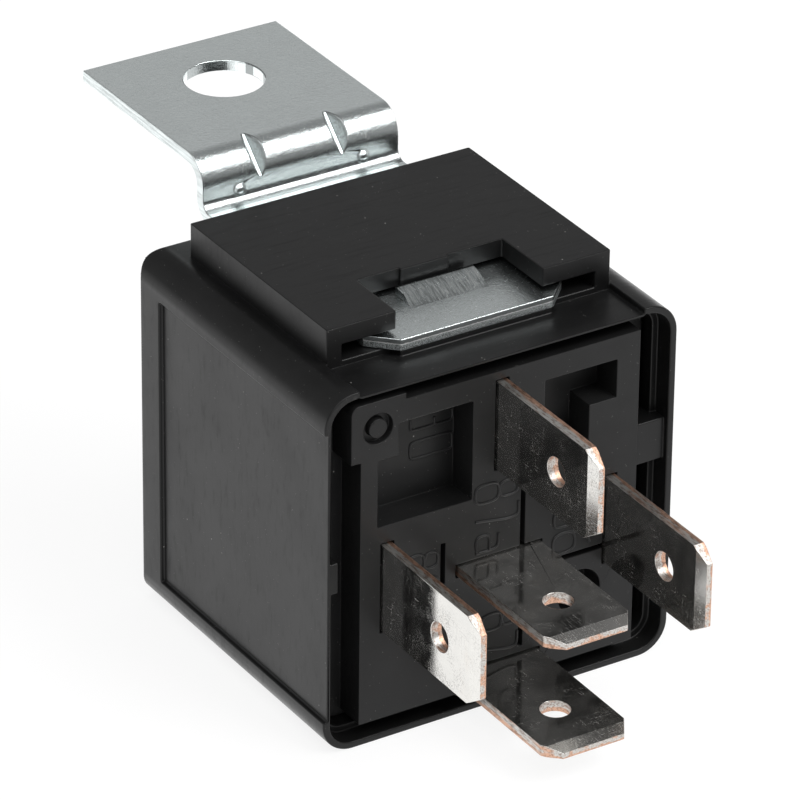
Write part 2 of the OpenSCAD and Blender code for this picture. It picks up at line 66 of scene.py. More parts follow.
MM = 0.001
BODY = "relay"
NODES = frame["nodes"]
MOUNTS = {mount["name"]: mount for mount in frame["record"]["mounts"]}
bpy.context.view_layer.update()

COVER_LOW, COVER_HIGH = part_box("cover")
MOUTH_Y = COVER_LOW.y
FACE_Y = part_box("base_plate")[0].y

# The bracket's sheet is as thick as its hole is long
SHEET = MOUNTS["bracket_hole"]["dims"]["length_mm"] * MM
# From the bracket's nose to the end of its cut corners
NOSE_LENGTH = 1.9 * MM
# Half the width of the spring tongue, with a little room
TONGUE_HALF_WIDTH = 2.93 * MM
# The two stiffening darts: half their spacing, half their width as pressed, the slope of their floors, and the
# length from the bracket's far end to the point where the floors leave the plate
DART_X = 3.1 * MM
DART_HALF_WIDTH = 0.65 * MM
DART_SLOPE = math.radians(42)
DART_START = 13.4 * MM
# Half the width of a finished dart, at its floor and at its rim
DART_FLOOR = 0.09 * MM
DART_RIM = 0.59 * MM

# The axis that each blade is thin along
BLADES = {"30": 0, "85": 0, "86": 0, "87": 2, "87a": 2}
# Length of the coined bevels at a blade's tip
TIP_LENGTH = 1.3 * MM
# Two faces of stamped strip are flats with a crease between them where both are larger than this
STRIP_FLAT = 1.5 * MM * MM
SPRING_EDGE_RADIUS = 0.03 * MM

# Edges that turn by more than this are rounded, and faces within the second angle are shaded as one
SHARP = math.radians(28)
SMOOTH = math.radians(50)

# Lamps: place and size in metres
KEY_LAMP = ((-0.35, -0.25, 0.85), (0.8, 0.8))
FILL_LAMP = ((0.36, -0.50, 0.76), (0.6, 0.5))
LAMP_TARGET = (0, 0, 0.01)
FLOOR_HALF_WIDTH = 3.0
# Camera: place in millimetres from the foot of the mouth; azimuth, elevation and roll in degrees
CAMERA_PLACE = (-192.80, -293.32, 217.68)
CAMERA_TURNS = (-32.258, 29.125, 0.70)


# ---------------------------------------------------------------- settings

class RelayMouldingSettings(PropertyGroup):
    """Black plastic of the cover and the base"""
    colour: FloatVectorProperty(name="Plastic", description="Colour of the moulded plastic",
                                subtype="COLOR", size=3, min=0, max=1, default=(0.0062, 0.0062, 0.0063))
    dust_colour: FloatVectorProperty(name="Dust", description="Colour of the dust on the plastic",
                                     subtype="COLOR", size=3, min=0, max=1, default=(0.34, 0.335, 0.32))
    edge_radius: FloatProperty(name="Edge radius", description="Radius on the moulded edges",
                               default=0.11 * MM, min=0.02 * MM, max=0.3 * MM, unit="LENGTH", precision=5)
    base_edge_radius: FloatProperty(name="Base edge radius", description="Radius on the base's edges",
                                    default=0.07 * MM, min=0.02 * MM, max=0.2 * MM, unit="LENGTH",
                                    precision=5)
    roughness: FloatProperty(name="Roughness", description="Roughness of the plastic",
                             default=0.33, min=0.05, max=1, subtype="FACTOR")


class RelayMetalSettings(PropertyGroup):
    """Sheet steel of the bracket and plated strip of the blades"""
    zinc: FloatVectorProperty(name="Zinc", description="Colour of the zinc plate",
                              subtype="COLOR", size=3, min=0, max=1, default=(0.81, 0.865, 0.865))
    tin: FloatVectorProperty(name="Tin", description="Colour of the tin plate",
                             subtype="COLOR", size=3, min=0, max=1, default=(0.63, 0.62, 0.595))
    copper: FloatVectorProperty(name="Bare edge", description="Colour of the sheared copper alloy",
                                subtype="COLOR", size=3, min=0, max=1, default=(0.61, 0.38, 0.275))
    sheet_edge_radius: FloatProperty(name="Sheet edge radius", description="Rounding on the bracket's edges",
                                     default=0.08 * MM, min=0.01 * MM, max=0.2 * MM, unit="LENGTH",
                                     precision=5)
    blade_edge_radius: FloatProperty(name="Blade edge radius", description="Rounding on the blades' edges",
                                     default=0.05 * MM, min=0.01 * MM, max=0.1 * MM, unit="LENGTH",
                                     precision=5)


class RelayMarkSettings(PropertyGroup):
    """Terminal numbers moulded on the base"""
    line: FloatProperty(name="Line", description="Thickness of the raised lines",
                        default=0.19 * MM, min=0.02 * MM, max=0.3 * MM, unit="LENGTH", precision=5)


class RelayMagnetSettings(PropertyGroup):
    """Coil, magnet, spring and contacts"""
    wire: FloatProperty(name="Wire", description="Diameter of the winding wire",
                        default=0.26 * MM, min=0.1 * MM, max=0.5 * MM, unit="LENGTH", precision=5)
    sides: IntProperty(name="Sides", description="Sides of each turn", default=56, min=16, max=128)
    lacquer: FloatVectorProperty(name="Lacquered wire", description="Colour of the copper under its lacquer",
                                 subtype="COLOR", size=3, min=0, max=1, default=(0.62, 0.27, 0.11))
    iron: FloatVectorProperty(name="Plated iron", description="Colour of the yoke, the core and the armature",
                              subtype="COLOR", size=3, min=0, max=1, default=(0.55, 0.56, 0.57))
    rivet: FloatVectorProperty(name="Rivets", description="Colour of the rivets",
                               subtype="COLOR", size=3, min=0, max=1, default=(0.60, 0.60, 0.60))
    bronze: FloatVectorProperty(name="Bronze", description="Colour of the contact spring",
                                subtype="COLOR", size=3, min=0, max=1, default=(0.72, 0.47, 0.24))
    silver: FloatVectorProperty(name="Silver", description="Colour of the contacts",
                                subtype="COLOR", size=3, min=0, max=1, default=(0.80, 0.79, 0.76))
    nylon: FloatVectorProperty(name="Nylon", description="Colour of the bobbin",
                               subtype="COLOR", size=3, min=0, max=1, default=(0.78, 0.74, 0.63))


class RelayStageSettings(PropertyGroup):
    """Floor, lamps and camera"""
    floor_colour: FloatVectorProperty(name="Floor", description="Colour of the floor",
                                      subtype="COLOR", size=3, min=0, max=1, default=(0.86, 0.86, 0.86))
    key_power: FloatProperty(name="Key", description="Power of the large lamp",
                             default=4.4, min=0, unit="POWER")
    fill_power: FloatProperty(name="Fill", description="Power of the side lamp",
                              default=7.5, min=0, unit="POWER")
    focal_length: FloatProperty(name="Focal length", description="Length of the camera's lens, in mm",
                                default=288.4, min=50, max=600)


# ---------------------------------------------------------------- node helpers

def new_material(name):
    """An empty node material with a Principled shader; returns (material, tree, shader)."""
    material = bpy.data.materials.new(name)
    material.use_nodes = True
    tree = material.node_tree
    tree.nodes.clear()
    shader = tree.nodes.new("ShaderNodeBsdfPrincipled")
    out = tree.nodes.new("ShaderNodeOutputMaterial")
    tree.links.new(shader.outputs["BSDF"], out.inputs["Surface"])
    return material, tree, shader


def object_coords(tree, scale=(1, 1, 1), turn=(0, 0, 0)):
    """Object coordinates in millimetres, stretched by scale."""
    coord = tree.nodes.new("ShaderNodeTexCoord")
    mapping = tree.nodes.new("ShaderNodeMapping")
    mapping.inputs["Scale"].default_value = [s / MM for s in scale]
    mapping.inputs["Rotation"].default_value = turn
    tree.links.new(coord.outputs["Object"], mapping.inputs["Vector"])
    return mapping.outputs["Vector"]


def noise(tree, vector, scale, detail=3.0, roughness=0.55):
    """A noise pattern; scale is in features per millimetre."""
    node = tree.nodes.new("ShaderNodeTexNoise")
    node.inputs["Scale"].default_value = scale
    node.inputs["Detail"].default_value = detail
    node.inputs["Roughness"].default_value = roughness
    tree.links.new(vector, node.inputs["Vector"])
    return node.outputs["Fac"]


def dots(tree, vector, scale):
    """The distance to the nearest of many scattered points."""
    node = tree.nodes.new("ShaderNodeTexVoronoi")
    node.inputs["Scale"].default_value = scale
    tree.links.new(vector, node.inputs["Vector"])
    return node.outputs["Distance"]


def span(tree, value, low, high, out_low=0.0, out_high=1.0):
    """Maps value from low..high to out_low..out_high, clamped."""
    node = tree.nodes.new("ShaderNodeMapRange")
    for key, number in (("From Min", low), ("From Max", high), ("To Min", out_low), ("To Max", out_high)):
        node.inputs[key].default_value = number
    tree.links.new(value, node.inputs["Value"])
    return node.outputs["Result"]


def calc(tree, operation, a, b):
    """One step of arithmetic on two numbers or sockets."""
    node = tree.nodes.new("ShaderNodeMath")
    node.operation = operation
    for socket, value in zip(node.inputs, (a, b)):
        if isinstance(value, (int, float)):
            socket.default_value = value
        else:
            tree.links.new(value, socket)
    return node.outputs["Value"]


def blend_colour(tree, factor, a, b):
    """Mixes colour a to colour b by factor; a or b is a colour or a socket."""
    node = tree.nodes.new("ShaderNodeMix")
    node.data_type = "RGBA"
    for socket, value in ((node.inputs[6], a), (node.inputs[7], b)):
        if isinstance(value, bpy.types.NodeSocket):
            tree.links.new(value, socket)
        else:
            socket.default_value = (*value[:3], 1.0)
    tree.links.new(factor, node.inputs[0])
    return node.outputs[2]


def bump(tree, shader, height, strength, distance, below=None):
    """Raises the surface by height over the bump below; returns its normal."""
    node = tree.nodes.new("ShaderNodeBump")
    node.inputs["Strength"].default_value = strength
    node.inputs["Distance"].default_value = distance
    tree.links.new(height, node.inputs["Height"])
    if below is not None:
        tree.links.new(below, node.inputs["Normal"])
    tree.links.new(node.outputs["Normal"], shader.inputs["Normal"])
    return node.outputs["Normal"]


def tint(colour, factor):
    """The colour made darker or brighter by a factor, and no brighter than white."""
    return tuple(min(1.0, c * factor) for c in colour[:3])


# ---------------------------------------------------------------- finishes

def moulded_plastic(name, colour, dust_colour, roughness, dust=1.0, gloss=0.22):
    """Satin black moulding with faint flow marks, fine grain and specks of dust."""
    material, tree, shader = new_material(name)
    place = object_coords(tree)
    cloud = noise(tree, place, 0.22, 4.0, 0.6)
    grain = noise(tree, place, 9.0, 3.0, 0.6)
    scuff = noise(tree, object_coords(tree, (0.25, 2.4, 0.6), (0.3, 0.2, 0.5)), 1.1, 5.0, 0.65)
    specks = calc(tree, "MULTIPLY", span(tree, dots(tree, place, 1.5), 0.045, 0.085, 1.0, 0.0),
                  span(tree, noise(tree, place, 1.3, 2.0), 0.56, 0.62))
    fine_specks = calc(tree, "MULTIPLY", span(tree, dots(tree, place, 5.5), 0.07, 0.13, 0.8, 0.0),
                       span(tree, noise(tree, place, 3.1, 1.0), 0.60, 0.66))
    dirt = calc(tree, "MULTIPLY", calc(tree, "MAXIMUM", specks, fine_specks), dust)
    base = blend_colour(tree, span(tree, cloud, 0.35, 0.7), tint(colour, 0.85), tint(colour, 1.25))
    tree.links.new(blend_colour(tree, dirt, base, dust_colour), shader.inputs["Base Color"])
    rough = span(tree, cloud, 0.3, 0.72, roughness - 0.04, roughness + 0.07)
    rough = calc(tree, "ADD", rough, span(tree, scuff, 0.52, 0.75, 0.0, 0.12))
    rough = calc(tree, "ADD", rough, calc(tree, "MULTIPLY", dirt, 0.4))
    tree.links.new(rough, shader.inputs["Roughness"])
    shader.inputs["IOR"].default_value = 1.5
    shader.inputs["Specular IOR Level"].default_value = gloss
    fine_bump = bump(tree, shader, grain, 0.10, 0.004 * MM)
    bump(tree, shader, cloud, 0.25, 0.06 * MM, fine_bump)
    return material


def zinc_sheet(name, colour, scuff=0.0):
    """Zinc plate: satin grey with a fine grain, faint clouds, pits and scratches; scuff adds rubbed lines."""
    material, tree, shader = new_material(name)
    place = object_coords(tree)
    streaks = noise(tree, object_coords(tree, (3.4, 0.20, 0.6)), 1.2, 6.0, 0.6)
    cloud = noise(tree, place, 0.45, 4.0, 0.6)
    grain = noise(tree, place, 3.4, 4.0, 0.8)
    pits = span(tree, noise(tree, place, 7.0, 3.0, 0.7), 0.63, 0.72)
    scratches = span(tree, noise(tree, object_coords(tree, (7.5, 0.5, 2.0), (0, 0, 0.35)), 1.0, 4.0, 0.7),
                     0.67, 0.72)
    tone = blend_colour(tree, span(tree, cloud, 0.3, 0.7), tint(colour, 0.95), colour)
    tone = blend_colour(tree, calc(tree, "MULTIPLY", pits, 0.30), tone, tint(colour, 0.60))
    tone = blend_colour(tree, calc(tree, "MULTIPLY", scratches, 0.15), tone, tint(colour, 1.15))
    if scuff:
        rubbed = noise(tree, object_coords(tree, (7.0, 0.7, 2.0), (0, 0, 0.12)), 1.0, 4.0, 0.7)
        tone = blend_colour(tree, span(tree, rubbed, 0.46, 0.60, 0.0, scuff), tone, tint(colour, 0.35))
        tone = blend_colour(tree, span(tree, rubbed, 0.42, 0.36, 0.0, scuff), tone, tint(colour, 1.3))
    tree.links.new(tone, shader.inputs["Base Color"])
    shader.inputs["Metallic"].default_value = 1.0
    rough = span(tree, streaks, 0.3, 0.7, 0.19, 0.25)
    rough = calc(tree, "ADD", rough, calc(tree, "MULTIPLY", pits, 0.12))
    rough = calc(tree, "ADD", rough, calc(tree, "MULTIPLY", scratches, 0.06))
    tree.links.new(rough, shader.inputs["Roughness"])
    first = bump(tree, shader, streaks, 0.05, 0.010 * MM)
    second = bump(tree, shader, scratches, 0.04, 0.004 * MM, first)
    third = bump(tree, shader, grain, 1.0, 0.034 * MM, second)
    bump(tree, shader, pits, 0.20, -0.010 * MM, third)
    return material


def sheared_edge(name, colour, low=None, high=None):
    """Grainy edge of the bracket's sheet; between heights low and high, a smooth band over a torn one."""
    material, tree, shader = new_material(name)
    place = object_coords(tree)
    tear = noise(tree, place, 6.0, 4.0, 0.7)
    grit = noise(tree, place, 13.0, 2.0, 0.7)
    band = noise(tree, object_coords(tree, (0.3, 0.3, 5.0)), 1.4, 3.0, 0.6)
    tone = blend_colour(tree, span(tree, band, 0.35, 0.65), tint(colour, 0.62), tint(colour, 0.98))
    if low is not None:
        parts = tree.nodes.new("ShaderNodeSeparateXYZ")
        tree.links.new(object_coords(tree), parts.inputs["Vector"])
        height = calc(tree, "ADD", parts.outputs["Z"], span(tree, tear, 0.3, 0.7, -0.04, 0.04))
        thick = (high - low) / MM
        smooth = span(tree, height, low / MM + 0.56 * thick, low / MM + 0.62 * thick)
        line = calc(tree, "MULTIPLY", span(tree, height, low / MM + 0.50 * thick, low / MM + 0.55 * thick),
                    span(tree, height, low / MM + 0.58 * thick, low / MM + 0.62 * thick, 1.0, 0.0))
        torn = blend_colour(tree, span(tree, grit, 0.4, 0.6), tint(colour, 0.30), tint(colour, 0.95))
        tone = blend_colour(tree, smooth, torn, tint(colour, 0.26))
        tone = blend_colour(tree, line, tone, tint(colour, 1.25))
    tree.links.new(tone, shader.inputs["Base Color"])
    shader.inputs["Metallic"].default_value = 1.0
    tree.links.new(span(tree, tear, 0.3, 0.7, 0.3, 0.55), shader.inputs["Roughness"])
    first = bump(tree, shader, tear, 0.4, 0.03 * MM)
    bump(tree, shader, grit, 0.4, 0.015 * MM, first)
    return material


def tin_strip(name, colour, rough_least=0.035):
    """Tin plate on rolled strip: a near mirror with blooms, dark specks, and scratches in worn patches."""
    material, tree, shader = new_material(name)
    place = object_coords(tree)
    bloom = noise(tree, place, 0.7, 4.0, 0.6)
    specks = calc(tree, "MULTIPLY", span(tree, noise(tree, place, 7.5, 3.0, 0.85), 0.54, 0.60),
                  span(tree, noise(tree, place, 0.55, 3.0, 0.6), 0.42, 0.60))
    drag = noise(tree, object_coords(tree, (5.0, 0.5, 5.0)), 1.6, 5.0, 0.65)
    along = noise(tree, object_coords(tree, (14.0, 0.9, 14.0), (0.5, 0, 0.5)), 1.0, 2.0, 0.72)
    across = noise(tree, object_coords(tree, (0.9, 12.0, 0.9), (-0.5, 0, -0.4)), 1.0, 2.0, 0.72)
    lines = calc(tree, "MAXIMUM", span(tree, along, 0.61, 0.66), span(tree, across, 0.62, 0.67))
    worn = span(tree, noise(tree, place, 0.45, 2.0, 0.5), 0.44, 0.58)
    grain = noise(tree, place, 9.0, 3.0, 0.8)
    lines = calc(tree, "MULTIPLY", lines, worn)
    stain = span(tree, noise(tree, place, 0.34, 3.0, 0.6), 0.52, 0.68)
    tone = blend_colour(tree, span(tree, bloom, 0.3, 0.7), tint(colour, 0.96), tint(colour, 1.03))
    tone = blend_colour(tree, calc(tree, "MULTIPLY", stain, 0.25), tone, (0.60, 0.55, 0.49))
    tone = blend_colour(tree, calc(tree, "MULTIPLY", specks, 0.35), tone, (0.20, 0.185, 0.17))
    tree.links.new(tone, shader.inputs["Base Color"])
    # Blooms, specks and scratches scatter a little light where the mirror is dark
    haze = calc(tree, "ADD", span(tree, bloom, 0.35, 0.7, 0.012, 0.035),
                calc(tree, "MULTIPLY", specks, 0.12))
    haze = calc(tree, "ADD", haze, calc(tree, "MULTIPLY", lines, 0.13))
    tree.links.new(calc(tree, "SUBTRACT", 1.0, haze), shader.inputs["Metallic"])
    rough = span(tree, drag, 0.3, 0.7, rough_least, rough_least + 0.05)
    rough = calc(tree, "ADD", rough, calc(tree, "MULTIPLY", specks, 0.15))
    tree.links.new(calc(tree, "ADD", rough, calc(tree, "MULTIPLY", lines, 0.2)), shader.inputs["Roughness"])
    first = bump(tree, shader, drag, 0.10, 0.006 * MM)
    second = bump(tree, shader, lines, 0.14, 0.006 * MM, first)
    third = bump(tree, shader, grain, 0.25, 0.006 * MM, second)
    bump(tree, shader, specks, 0.16, -0.006 * MM, third)
    return material


def bare_edge(name, colour, tin, axis, middle, side):
    """Sheared edge of a blade that is thin along axis: smeared tin on one side of its middle, in millimetres,
    and torn copper alloy on the other."""
    material, tree, shader = new_material(name)
    place = object_coords(tree)
    smear = noise(tree, object_coords(tree, (1.0, 0.10, 1.0)), 1.9, 2.5, 0.5)
    tear = noise(tree, object_coords(tree, (1.0, 0.18, 1.0)), 9.0, 3.0, 0.7)
    grit = noise(tree, place, 16.0, 2.0, 0.6)
    parts = tree.nodes.new("ShaderNodeSeparateXYZ")
    tree.links.new(place, parts.inputs["Vector"])
    across = calc(tree, "MULTIPLY", calc(tree, "SUBTRACT", parts.outputs[axis], middle), side)
    across = calc(tree, "ADD", across, span(tree, tear, 0.3, 0.7, -0.08, 0.08))
    torn = span(tree, across, 0.02, 0.16, 0.0, 0.27)
    covered = span(tree, calc(tree, "SUBTRACT", smear, torn), 0.32, 0.46)
    tone = blend_colour(tree, covered, colour, tint(tin, 0.88))
    tone = blend_colour(tree, span(tree, tear, 0.46, 0.62, 0.0, 0.75), tone, tint(colour, 0.30))
    tree.links.new(tone, shader.inputs["Base Color"])
    shader.inputs["Metallic"].default_value = 1.0
    tree.links.new(span(tree, grit, 0.3, 0.7, 0.34, 0.54), shader.inputs["Roughness"])
    first = bump(tree, shader, tear, 0.35, 0.018 * MM)
    bump(tree, shader, grit, 0.25, 0.008 * MM, first)
    return material


def soft_iron(name, colour):
    """Nickel-plated iron of the magnet: soft grey, brushed along the strip."""
    material, tree, shader = new_material(name)
    brushed = noise(tree, object_coords(tree, (3.0, 0.3, 0.8)), 1.6, 5.0, 0.6)
    cloud = noise(tree, object_coords(tree), 0.6, 3.0, 0.5)
    tree.links.new(blend_colour(tree, span(tree, cloud, 0.3, 0.7), tint(colour, 0.85), colour),
                   shader.inputs["Base Color"])
    shader.inputs["Metallic"].default_value = 1.0
    tree.links.new(span(tree, brushed, 0.3, 0.7, 0.28, 0.45), shader.inputs["Roughness"])
    bump(tree, shader, brushed, 0.3, 0.015 * MM)
    return material


def bobbin_nylon(name, colour):
    """Natural nylon: waxy and slightly translucent."""
    material, tree, shader = new_material(name)
    cloud = noise(tree, object_coords(tree), 0.5, 3.0, 0.5)
    tree.links.new(blend_colour(tree, span(tree, cloud, 0.3, 0.7), tint(colour, 0.92), colour),
                   shader.inputs["Base Color"])
    tree.links.new(span(tree, cloud, 0.3, 0.7, 0.38, 0.5), shader.inputs["Roughness"])
    bump(tree, shader, noise(tree, object_coords(tree), 6.0), 0.15, 0.01 * MM)
    return material


def lacquered_wire(name, colour):
    """Copper wire under clear lacquer."""
    material, tree, shader = new_material(name)
    patch = noise(tree, object_coords(tree), 1.4, 3.0, 0.5)
    tree.links.new(blend_colour(tree, span(tree, patch, 0.3, 0.7), tint(colour, 0.8), colour),
                   shader.inputs["Base Color"])
    shader.inputs["Metallic"].default_value = 1.0
    shader.inputs["Coat Weight"].default_value = 0.6
    shader.inputs["Coat Roughness"].default_value = 0.15
    tree.links.new(span(tree, patch, 0.3, 0.7, 0.28, 0.42), shader.inputs["Roughness"])
    bump(tree, shader, patch, 0.2, 0.01 * MM)
    return material


def rolled_bronze(name, colour):
    """Spring strip with fine rolling lines."""
    material, tree, shader = new_material(name)
    rolled = noise(tree, object_coords(tree, (6.0, 3.0, 0.25)), 1.2, 4.0, 0.6)
    tree.links.new(blend_colour(tree, span(tree, rolled, 0.3, 0.7), tint(colour, 0.88), colour),
                   shader.inputs["Base Color"])
    shader.inputs["Metallic"].default_value = 1.0
    tree.links.new(span(tree, rolled, 0.3, 0.7, 0.22, 0.36), shader.inputs["Roughness"])
    bump(tree, shader, rolled, 0.25, 0.008 * MM)
    return material


def silver_contact(name, colour):
    """Silver alloy of the contacts with a struck, slightly worn crown."""
    material, tree, shader = new_material(name)
    wear = noise(tree, object_coords(tree), 3.5, 4.0, 0.65)
    tree.links.new(blend_colour(tree, span(tree, wear, 0.45, 0.7), colour, tint(colour, 0.7)),
                   shader.inputs["Base Color"])
    shader.inputs["Metallic"].default_value = 1.0
    tree.links.new(span(tree, wear, 0.3, 0.7, 0.18, 0.38), shader.inputs["Roughness"])
    bump(tree, shader, wear, 0.3, 0.01 * MM)
    return material


# ---------------------------------------------------------------- mesh helpers

def set_materials(obj, *materials):
    """Gives the object's mesh these materials, in this order."""
    obj.data.materials.clear()
    for material in materials:
        obj.data.materials.append(material)


def finished_mesh(obj):
    """Turns an object's live modifiers into a plain mesh."""
    depsgraph = bpy.context.evaluated_depsgraph_get()
    mesh = bpy.data.meshes.new_from_object(obj.evaluated_get(depsgraph), depsgraph=depsgraph)
    obj.modifiers.clear()
    obj.data = mesh


def even_shading(mesh, flat_area=None):
    """Shades each corner by the flat regions that meet there, each with its whole area as its weight.

    Two regions that are both larger than flat_area are flats with a crease between them.
    """
    work = bmesh.new()
    work.from_mesh(mesh)
    work.faces.ensure_lookup_table()
    region = [-1] * len(work.faces)
    areas, normals = [], []
    for seed in work.faces:
        if region[seed.index] >= 0:
            continue
        region[seed.index] = len(areas)
        normal, area, queue = seed.normal.copy(), 0.0, [seed]
        while queue:
            face = queue.pop()
            area += face.calc_area()
            for edge in face.edges:
                for other in edge.link_faces:
                    if region[other.index] < 0 and other.normal.dot(normal) > 0.99998:
                        region[other.index] = len(areas)
                        queue.append(other)
        areas.append(area)
        normals.append(normal)
    near = math.cos(SMOOTH)
    shaded = [None] * len(mesh.loops)
    for vert in work.verts:
        around = {region[face.index] for face in vert.link_faces}
        for loop in vert.link_loops:
            own_index = region[loop.face.index]
            own = normals[own_index]
            total = Vector((0, 0, 0))
            for index in around:
                both_flat = flat_area and min(areas[index], areas[own_index]) > flat_area
                if normals[index].dot(own) > near and (index == own_index or not both_flat):
                    total += normals[index] * areas[index]
            shaded[loop.index] = total.normalized() if total.length > 0 else own
    work.free()
    for polygon in mesh.polygons:
        polygon.use_smooth = True
    mesh.normals_split_custom_set([tuple(normal) if normal else (0, 0, 1) for normal in shaded])


def rounded_copy(node, radius, flat_area=None, reshape=None):
    """A copy of a CAD node, reshaped where asked, with its sharp edges rounded; it stands for the node."""
    source = NODES[node]
    piece = bpy.data.objects.new(node + "_finished", source.data.copy())
    bpy.context.scene.collection.objects.link(piece)
    mesh = bmesh.new()
    mesh.from_mesh(piece.data)
    bmesh.ops.remove_doubles(mesh, verts=mesh.verts, dist=0.0005 * MM)
    if reshape:
        reshape(mesh)
    mesh.to_mesh(piece.data)
    mesh.free()
    bevel = piece.modifiers.new("edge rounding", "BEVEL")
    bevel.width = radius
    bevel.segments = 2
    bevel.limit_method = "ANGLE"
    bevel.angle_limit = SHARP
    bevel.use_clamp_overlap = False
    bevel.miter_outer = "MITER_ARC"
    finished_mesh(piece)
    even_shading(piece.data, flat_area)
    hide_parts(node)
    return piece


def settle(piece):
    """The piece rides on the relay's own body."""
    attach(piece, BODY)


def paint_faces(piece, choose):
    """Gives each face the material number that choose(face) returns."""
    for polygon in piece.data.polygons:
        polygon.material_index = choose(polygon)


# ---------------------------------------------------------------- operators

class RELAY_OT_cover(Operator):
    """Dress the cover in satin black plastic with softly rounded edges"""
    bl_idname = "relay.cover"
    bl_label = "Cover"

    def execute(self, context):
        settings = context.scene.relay_moulding
        piece = rounded_copy("cover", settings.edge_radius)
        set_materials(piece, moulded_plastic("cover plastic", settings.colour, settings.dust_colour,
                                             settings.roughness, dust=0.8))
        settle(piece)
        return {"FINISHED"}


class RELAY_OT_base(Operator):
    """Dress the base in slightly duller plastic"""
    bl_idname = "relay.base"
    bl_label = "Base"

    def execute(self, context):
        settings = context.scene.relay_moulding
        piece = rounded_copy("base_plate", settings.base_edge_radius)
        colour = tint(settings.colour, 1.5)
        set_materials(piece, moulded_plastic("base plastic", colour, settings.dust_colour,
                                             settings.roughness + 0.06, gloss=0.20))
        settle(piece)
        return {"FINISHED"}


class RELAY_OT_bracket(Operator):
    """Dress the bracket in zinc plate with sheared edges"""
    bl_idname = "relay.bracket"
    bl_label = "Bracket"

    def narrow_darts(self, mesh):
        """Draws the sides of each dart in towards its floor, so that it is a V and its outline a leaf."""
        near = 0.02 * MM
        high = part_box("mounting_bracket")[1]
        start = high.y - DART_START
        found = []
        for vert in mesh.verts:
            up = (start - vert.co.y) * math.sin(DART_SLOPE) + (vert.co.z - high.z) * math.cos(DART_SLOPE)
            off = abs(vert.co.x) - DART_X
            if abs(abs(off) - DART_HALF_WIDTH) < near and up > -near and vert.co.y < start + near:
                found.append((vert, up, off))
        tall = max(up for _, up, _ in found)
        for vert, up, off in found:
            half = DART_FLOOR + (DART_RIM - DART_FLOOR) * max(up, 0) / tall
            vert.co.x = math.copysign(DART_X + math.copysign(half, off), vert.co.x)

    def execute(self, context):
        settings = context.scene.relay_metal
        piece = rounded_copy("mounting_bracket", settings.sheet_edge_radius, reshape=self.narrow_darts)
        low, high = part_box("mounting_bracket")
        sheet_top = low.z + SHEET
        plate, sheared, nose, painted_dart_shade, scuffed, shaded = range(6)
        set_materials(piece, zinc_sheet("zinc plate", settings.zinc),
                      sheared_edge("sheared zinc", settings.zinc),
                      sheared_edge("sheared nose", settings.zinc, low.z, sheet_top),
                      # A dark copy of the zinc for the darts' sides: painted shade in the grooves
                      zinc_sheet("painted dart shade zinc", tint(settings.zinc, 0.42)),
                      zinc_sheet("scuffed zinc", tint(settings.zinc, 0.95), 0.6),
                      # A darker copy of the zinc for the step: painted shade on its foot and a painted
                      # reflection of the black cover on its web
                      zinc_sheet("shaded zinc", tint(settings.zinc, 0.5)))

        def choose(face):
            place, normal = face.center, face.normal
            if normal.y < -0.6 and place.y < low.y + NOSE_LENGTH and place.z < sheet_top:
                return nose
            # The tongue stands over the sheet in the notch, and nothing else does on that side of the cover
            raised = sheet_top + 0.04 * MM < place.z < COVER_HIGH.z
            if raised and place.y < 0 and abs(place.x) < TONGUE_HALF_WIDTH:
                return scuffed
            # The darts' sides slope, and stand in the raised plate behind the cover; they are painted in a
            # dark zinc, a painted shade in the grooves
            dart = abs(abs(place.x) - DART_X) < DART_HALF_WIDTH + 0.02 * MM and place.z > low.z + 1.5 * MM
            if dart and place.y > COVER_HIGH.y + 0.5 * MM and 0.2 < abs(normal.x) < 0.97:
                return painted_dart_shade
            # The step from the channel up to the raised plate: its foot faces up and its web faces the mouth;
            # both are painted in a darker zinc, a painted shade on the foot and a painted reflection of the
            # black cover on the web
            foot = normal.z > 0.2 and place.z < sheet_top + 0.5 * MM
            web = normal.y < -0.8 and place.z > sheet_top + 0.5 * MM
            if place.y > COVER_HIGH.y - 2 * MM and (foot or web):
                return shaded
            side = abs(normal.x) > 0.9 and abs(place.x) > high.x - 0.3 * MM
            tail = normal.y > 0.9 and place.y > high.y - 0.3 * MM
            return sheared if side or tail else plate

        paint_faces(piece, choose)
        settle(piece)
        return {"FINISHED"}


class RELAY_OT_blades(Operator):
    """Dress the blades in tin plate with bare copper edges"""
    bl_idname = "relay.blades"
    bl_label = "Blades"

    def execute(self, context):
        settings = context.scene.relay_metal
        tin = tin_strip("tin plate", settings.tin)
        coined = tin_strip("coined tin", tint(settings.tin, 1.05), 0.16)
        flat, edge, bevel = range(3)
        for number, axis in BLADES.items():
            node = "terminal_" + number
            piece = rounded_copy(node, settings.blade_edge_radius, flat_area=STRIP_FLAT)
            middle = MOUNTS["blade_" + number]["pos_m"][axis] / MM
            bare = bare_edge("bare edge " + number, settings.copper, settings.tin, axis, middle,
                             -1 if axis else 1)
            set_materials(piece, tin, bare, coined)
            tip_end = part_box(node)[0].y + TIP_LENGTH

            def choose(face, axis=axis, tip_end=tip_end):
                if abs(face.normal[axis]) < 0.5:
                    return edge
                return bevel if face.normal.y < -0.1 and face.center.y < tip_end else flat

            paint_faces(piece, choose)
            settle(piece)
        return {"FINISHED"}


